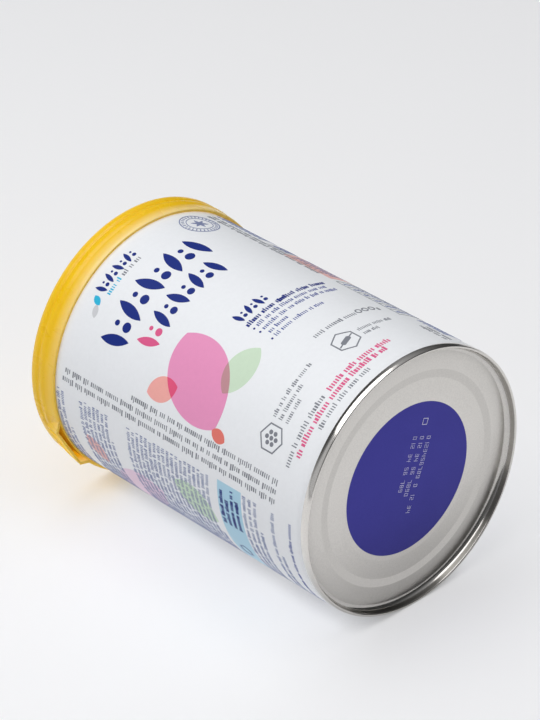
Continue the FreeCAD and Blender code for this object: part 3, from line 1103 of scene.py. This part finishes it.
    def left_panel(self) -> None:
        """Draw the text panel left of the front, with its pale leaves and the blue box."""
        left, width = -94.0, 45.0
        slate, navy = self.film(Ink.SLATE), self.film(Ink.NAVY)
        slate.paragraph((left, 128.0), width, 3, 2.3, 1.2)
        slate.paragraph((left, 115.5), width, 8, 2.27, 1.2)
        slate.paragraph((left, 90.0), width, 20, 2.27, 1.2)
        self.film(Ink.PALE_PINK).leaf(Leaf((-80.0, 92.0), 34.0, 20.0, 120))
        self.film(Ink.BLUSH).leaf(Leaf((-69.0, 111.0), 13.0, 7.4, 40))
        self.film(Ink.PALE_GREEN).leaf(Leaf((-64.5, 57.0), 22.0, 12.5, 65))
        self.film(Ink.SKY).bar((-70.0, 38.1), (42.4, 11.8))
        for index, length in enumerate((15.0, 12.0, 16.5, 13.0)):
            navy.words((-66.5, 42.2 - index * 2.6), length, 1.3, weight=BLACK)
        navy.ring((-79.5, 38.1), 3.0, 0.4, 6, 30)
        slate.paragraph((left, 30.5), width, 4, 2.6, 1.2)
        slate.paragraph((left, 16.6), width, 2, 2.8, 1.2)
        self.film(Ink.INDIGO).words((-92.0, 8.2), 43.0, 1.1)

    def right_panel(self) -> None:
        """Draw the feeding table and its notes right of the front."""
        grey, slate = self.film(Ink.GREY), self.film(Ink.SLATE)
        for place in (46.6, 49.0):
            grey.words((place, 68.0), 58.0, 1.3, 90)
            grey.words((place, 5.5), 13.5, 1.3, 90)
        self.film(Ink.STONE).bar((64.0, 93.0), (30.0, 10.8), 1.2)
        self.film(Ink.BLUSH).bar((64.0, 75.0), (33.0, 24.6), 1.2)
        self.film(Ink.INDIGO).paragraph((51.5, 95.6), 24.0, 3, 2.6, 1.3)
        slate.paragraph((50.5, 84.0), 27.0, 8, 2.5, 1.2)
        row_pitch, line = 5.2, 0.25
        for row in range(7):
            grey.bar((71.5, 60.0 - row * row_pitch), (48.0, line))
            if row:
                slate.words((48.5, 62.6 - row * row_pitch), 46.0, 1.2)
        for column in range(5):
            grey.bar((47.5 + column * 12.0, 60.0 - 3 * row_pitch), (line, 6 * row_pitch))
        for top, lines in ((126.0, 10), (24.0, 6)):
            slate.paragraph((52.0, top), 43.0, lines, 2.4, 1.2)

    def back_panel(self) -> None:
        """Draw the plain text columns on the far side, on both sides of the bare weld margin."""
        for left, blocks in (
            (100.0, ((124.0, 12), (88.0, 14), (48.0, 14))),
            (-147.0, ((124.0, 14), (84.0, 16), (38.0, 10))),
        ):
            for top, lines in blocks:
                self.film(Ink.SLATE).paragraph((left, top), 44.0, lines, 2.4, 1.2)
        self.film(Ink.PALE_GREEN).bar((122.0, 92.5), (44.0, 3.0), 0.6)
        self.film(Ink.SKY).bar((-125.0, 88.5), (44.0, 3.0), 0.6)

    def build(self) -> list[Piece]:
        """Draw every field, then press each ink onto the wall."""
        self.front_heading()
        self.front_leaves()
        self.front_notes()
        self.side_lines()
        self.left_panel()
        self.right_panel()
        self.back_panel()
        pieces = []
        for order, ink in enumerate(Ink):
            shape = self.press.thicken(self.films[ink], order)
            self.press.wrap(shape, TIN.body_radius, self.front_degrees)
            finish = VarnishedPrint(f"ink_{ink.label}", ink.value).build()
            pieces.append(self.bench.settle(shape, f"print_{ink.label}", finish, "printed_body"))
        return pieces


# --- The cap ---


@dataclass(frozen=True)
class LugEnd:
    """Outline of the finger tab, or of its pocket, at one height."""

    level: float
    front: float
    half_width: float
    root_degrees: float

    def shrunk(self, wall: float, level: float, front: float, degrees: float) -> "LugEnd":
        """Give the pocket's outline inside this one, at its own level and front."""
        return LugEnd(level, front - wall, self.half_width - wall, self.root_degrees - degrees)


@dataclass
class Overcap:
    """Moulded push-on cap with a stacking rim, a beaded skirt and a ribbed finger tab."""

    bench: Bench
    recess_depth: float = 1.2
    ledge_width: float = 3.8
    groove_depth: float = 0.4
    groove_width: float = 1.0
    bead_height: float = 3.1
    bead_swell: float = 0.374
    skirt_swell: float = 0.3
    skirt_round: float = 2.2
    snap_height: float = 133.35
    snap_reach: float = 0.5
    snap_below: float = 0.85
    snap_above: float = 0.25
    skirt_bow: float = 0.14
    recess_draft: float = 0.3
    plug_radius: float = 48.15
    tab_bearing: float = 152.0
    tab_height: float = 7.2
    tab_reach: float = 1.65
    tab_half_width: float = 10.2
    tab_root_degrees: float = 16.0
    tab_top_reach: float = 0.6
    tab_top_half_width: float = 8.6
    tab_top_root_degrees: float = 13.0
    tab_wall: float = 0.7
    pocket_skirt: float = 0.5
    pocket_run_out: float = 0.5
    pocket_narrowing: Pair = (2.4, 2.3)
    tab_roof: float = 1.3
    ribs: int = 14
    rib_pitch: float = 1.2
    rib_width: float = 0.5
    rib_depth: float = 0.3

    def outline(self) -> list[Corner]:
        """Give the cap's section, from the middle of its top over the rim and back inside."""
        ledge_inner = CAP.rim_radius - CAP.rim_width
        recess = LEDGE_HEIGHT - self.recess_depth
        groove = CAP.rim_radius - self.groove_depth
        bead_top = LEDGE_HEIGHT - self.groove_width
        bead_foot = bead_top - self.bead_height
        ledge = ledge_inner - self.ledge_width
        skirt_side = Corner(CAP.skirt_radius + self.skirt_swell, CAP_EDGE + self.skirt_round)
        return [
            Corner(0, recess),
            Corner(ledge - self.recess_draft, recess, 0.25),
            Corner(ledge, LEDGE_HEIGHT, 0.35),
            Corner(ledge_inner, LEDGE_HEIGHT, 0.45),
            Corner(ledge_inner, CAP_TOP, 0.4),
            Corner(CAP.rim_radius, CAP_TOP, 0.45, 6),
            Corner(CAP.rim_radius, LEDGE_HEIGHT, 0.4),
            Corner(groove, LEDGE_HEIGHT - self.groove_width / 2, 0.24),
            *bulge(
                Corner(groove, bead_top, 0.22), Corner(groove, bead_foot, 0.35), self.bead_swell, 10
            ),
            *bulge(skirt_side, Corner(CAP.skirt_radius, CAP_EDGE, 0.25), self.skirt_bow, 6),
            Corner(CAP.inner_radius, CAP_EDGE, 0.2),
            Corner(CAP.inner_radius, self.snap_height - self.snap_below, 0.2),
            Corner(CAP.inner_radius - self.snap_reach, self.snap_height, 0.2),
            Corner(CAP.inner_radius, self.snap_height + self.snap_above),
            Corner(CAP.inner_radius, TIN.height),
            Corner(self.plug_radius, TIN.height),
            Corner(self.plug_radius - self.recess_draft, recess - CAP.panel),
            Corner(0, recess - CAP.panel),
        ]

    def lug(self, ends: Sequence[LugEnd], root_radius: float, ribbed: bool) -> Shape:
        """Model the tab's block, or the pocket inside it, as one outline raised to another.

        Args:
            ends: Its outline's sizes at the foot and at the top.
            root_radius: Radius of the arc at its root.
            ribbed: Whether its front carries the grip ribs.

        Returns:
            The closed block, turned to the tab's bearing.
        """
        root_steps = 12
        shape = bmesh.new()
        layers = []
        for end in ends:
            points = []
            for step in range(root_steps + 1):
                angle = math.radians(end.root_degrees * (2 * step / root_steps - 1))
                points.append((root_radius * math.cos(angle), root_radius * math.sin(angle)))
            points.append((end.front, end.half_width))
            rib_pitch = self.rib_pitch * end.half_width / ends[0].half_width
            for rib in range(self.ribs if ribbed else 0):
                middle = ((self.ribs - 1) / 2 - rib) * rib_pitch
                for side, depth in ((1, 0), (0.5, 1), (-0.5, 1), (-1, 0)):
                    points.append(
                        (end.front + depth * self.rib_depth, middle + side * self.rib_width / 2)
                    )
            points.append((end.front, -end.half_width))
            layers.append([Vector((x, y, end.level)) for x, y in points])
        foot = shape.faces.new([shape.verts.new(point) for point in layers[0]])
        lifted = bmesh.ops.extrude_face_region(shape, geom=[foot])["geom"]
        for corner in [part for part in lifted if isinstance(part, Vert)]:
            corner.co = layers[1][[tuple(p) for p in layers[0]].index(tuple(corner.co))]
        bmesh.ops.recalc_face_normals(shape, faces=shape.faces)
        shape.transform(Matrix.Rotation(math.radians(self.tab_bearing), 4, "Z"))
        return shape

    def build(self, plastic: Material) -> Piece:
        """Build the cap: turn it, add the tab and hollow the pocket out."""
        cap = make_object(turned(self.outline()), "cap_moulding_blank")
        foot = LugEnd(
            CAP_EDGE, CAP.skirt_radius + self.tab_reach, self.tab_half_width, self.tab_root_degrees
        )
        top = LugEnd(
            CAP_EDGE + self.tab_height,
            CAP.skirt_radius + self.tab_top_reach,
            self.tab_top_half_width,
            self.tab_top_root_degrees,
        )
        tab = self.lug((foot, top), (CAP.inner_radius + CAP.skirt_radius) / 2, True)
        lean = (foot.front - top.front) * (1 - self.tab_roof / self.tab_height)
        mouth, roof = CAP_EDGE - self.pocket_run_out, top.level - self.tab_roof
        narrower = self.pocket_narrowing
        hollow = (
            foot.shrunk(self.tab_wall, mouth, foot.front, narrower[0]),
            top.shrunk(self.tab_wall, roof, foot.front - lean, narrower[1]),
        )
        pocket = self.lug(hollow, CAP.inner_radius + self.pocket_skirt, False)
        for shape, operation in ((tab, "UNION"), (pocket, "DIFFERENCE")):
            tool = make_object(shape, "cap_tool")
            change = cap.modifiers.new("tab", "BOOLEAN")
            change.operation = operation
            change.solver = "EXACT"
            change.object = tool
            graph = bpy.context.evaluated_depsgraph_get()
            mesh = bpy.data.meshes.new_from_object(cap.evaluated_get(graph))
            cap.modifiers.clear()
            cap.data = mesh
            bpy.data.objects.remove(tool)
        shape = bmesh.new()
        shape.from_mesh(cap.data)
        bpy.data.objects.remove(cap)
        bmesh.ops.remove_doubles(shape, verts=shape.verts, dist=MERGE_DISTANCE)
        return self.bench.settle(
            shape, "cap_moulding", plastic, "cap_plastic", "overcap", trim=True
        )


# --- The studio ---


@dataclass(frozen=True)
class Lobe:
    """A soft patch of the room: the strength it leaves outside its edge and in its middle."""

    toward: tuple[float, float, float]
    span: Pair
    strengths: Pair


@dataclass
class Studio:
    """Pale floor, soft overhead light and the camera."""

    aim: tuple[float, float, float] = (0.0202, 0.0238, 0.0494)
    distance: float = 1.183
    heading_degrees: float = 40.911
    elevation_degrees: float = 31.264
    roll_degrees: float = 2.912
    focal_mm: float = 110.4
    sensor_mm: float = 24.0
    floor_colour: str = "#f4f4f5"
    floor_half: float = 6.0
    painted_contact_mm: float = 11.0
    painted_contact_span: Pair = (0.0, 0.6)
    painted_contact_shade: float = 0.5
    room_colour: str = "#f3f4f7"
    room_lobes: tuple[Lobe, ...] = (
        Lobe((-0.56, -0.646, 0.519), (0.55, 0.95), (1.0, 0.3)),  # dark behind the camera
        Lobe((-0.2, 0.8, 0.566), (0.7, 0.95), (1.0, 0.15)),  # dark beyond the cap
        Lobe((-0.66, 0.25, 0.71), (-0.35, 0.75), (0.06, 0.6)),  # bright on the left
    )
    light_target: tuple[float, float, float] = (0.0, 0.0, 0.05)
    light_size: float = 1.8
    key_place: tuple[float, float, float] = (-0.3, 0.1, 1.6)
    key_power: float = 5.5
    fill_place: tuple[float, float, float] = (-0.4, 0.1, 1.6)
    fill_power: float = 21.4

    def camera(self) -> Piece:
        """Set up the camera."""
        heading = math.radians(self.heading_degrees)
        elevation = math.radians(self.elevation_degrees)
        look = Vector(
            (
                math.sin(heading) * math.cos(elevation),
                math.cos(heading) * math.cos(elevation),
                -math.sin(elevation),
            )
        )
        lens = bpy.data.cameras.new("camera")
        lens.sensor_fit = "VERTICAL"
        lens.sensor_height = self.sensor_mm
        lens.lens = self.focal_mm
        lens.clip_start = 0.05
        lens.clip_end = 50.0
        camera = bpy.data.objects.new("camera", lens)
        bpy.context.scene.collection.objects.link(camera)
        turn = look.to_track_quat("-Z", "Y").to_matrix().to_4x4()
        roll = Matrix.Rotation(-math.radians(self.roll_degrees), 4, "Z")
        stand = Matrix.Translation(Vector(self.aim) - look * self.distance)
        camera.matrix_world = stand @ turn @ roll
        bpy.context.scene.camera = camera
        return camera

    def floor(self) -> Piece:
        """Lay the pale floor, with a painted contact shadow that darkens it where it nearly touches
        the can.
        """
        shape = bmesh.new()
        bmesh.ops.create_grid(shape, x_segments=8, y_segments=8, size=self.floor_half)
        floor = make_object(shape, "studio_floor")
        material, tree, shader = new_material("matte_paper")
        # Painted contact shadow: ambient occlusion darkens the floor's colour next to the can.
        open_tone = openness(tree, self.painted_contact_mm)
        near = remap(tree, open_tone, self.painted_contact_span, (self.painted_contact_shade, 1.0))
        settings = {
            "Base Color": mix_colours(tree, 1.0, linear(self.floor_colour), near, "MULTIPLY"),
            "Roughness": 0.85,
            "Specular IOR Level": 0.2,
        }
        set_up(tree, shader, settings)
        floor.data.materials.append(material)
        return floor

    def softbox(
        self, name: str, place: tuple[float, float, float], power: float, shadow: bool = True
    ) -> Piece:
        """Hang a square soft light that faces the can; without shadow it only fills."""
        light = bpy.data.lights.new(name, "AREA")
        light.shape = "SQUARE"
        light.size = self.light_size
        light.energy = power
        light.use_shadow = shadow
        lamp = bpy.data.objects.new(name, light)
        bpy.context.scene.collection.objects.link(lamp)
        lamp.location = place
        aim = Vector(self.light_target) - Vector(place)
        lamp.rotation_euler = aim.to_track_quat("-Z", "Y").to_euler()
        return lamp

    def surroundings(self) -> None:
        """Light the room: pale, with dark and bright patches for the metal to mirror."""
        world = bpy.data.worlds.new("studio")
        bpy.context.scene.world = world
        world.use_nodes = True
        tree = world.node_tree
        tree.nodes.clear()
        place = add_node(tree, "ShaderNodeTexCoord").outputs["Generated"]
        strength = 1.0
        for lobe in self.room_lobes:
            settings = {"operation": "DOT_PRODUCT", 0: place, 1: lobe.toward}
            facing = add_node(tree, "ShaderNodeVectorMath", settings).outputs["Value"]
            patch = remap(tree, facing, lobe.span, lobe.strengths, smooth=True)
            strength = maths(tree, "MULTIPLY", strength, patch)
        settings = {"Color": linear(self.room_colour), "Strength": strength}
        background = add_node(tree, "ShaderNodeBackground", settings).outputs["Background"]
        add_node(tree, "ShaderNodeOutputWorld", {"Surface": background})

    def build(self) -> None:
        """Build the floor, lights and camera."""
        self.floor()
        self.softbox("overhead_softbox", self.key_place, self.key_power)
        self.softbox("fill_softbox", self.fill_place, self.fill_power, shadow=False)
        self.surroundings()
        self.camera()
        bpy.context.scene.view_settings.view_transform = "Standard"


def main() -> None:
    """Build the can and its studio, and report each piece."""
    logging.basicConfig(level=logging.INFO, format="%(message)s")
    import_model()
    bench = Bench(lying_matrix())
    press = Press()
    base = BaseEnd(bench, press)
    base.panel(StoneFinishTinplate().build())
    lacquered = StoneFinishTinplate(
        "blue_lacquer", "#434199", 0.42, polished_roughness=0.42, grain_mm=0.4
    )
    base.lacquer(lacquered.build())
    base.code(VarnishedPrint("pale_jet_ink", "#eeedfb", roughness=0.5).build())
    TinBody(bench).build(VarnishedPrint("white_base_coat", "#e8eaed").build())
    PrintedWrap(bench, press).build()
    Overcap(bench).build(CapPolyethylene().build())
    Studio().build()


if __name__ == "__main__":
    main()
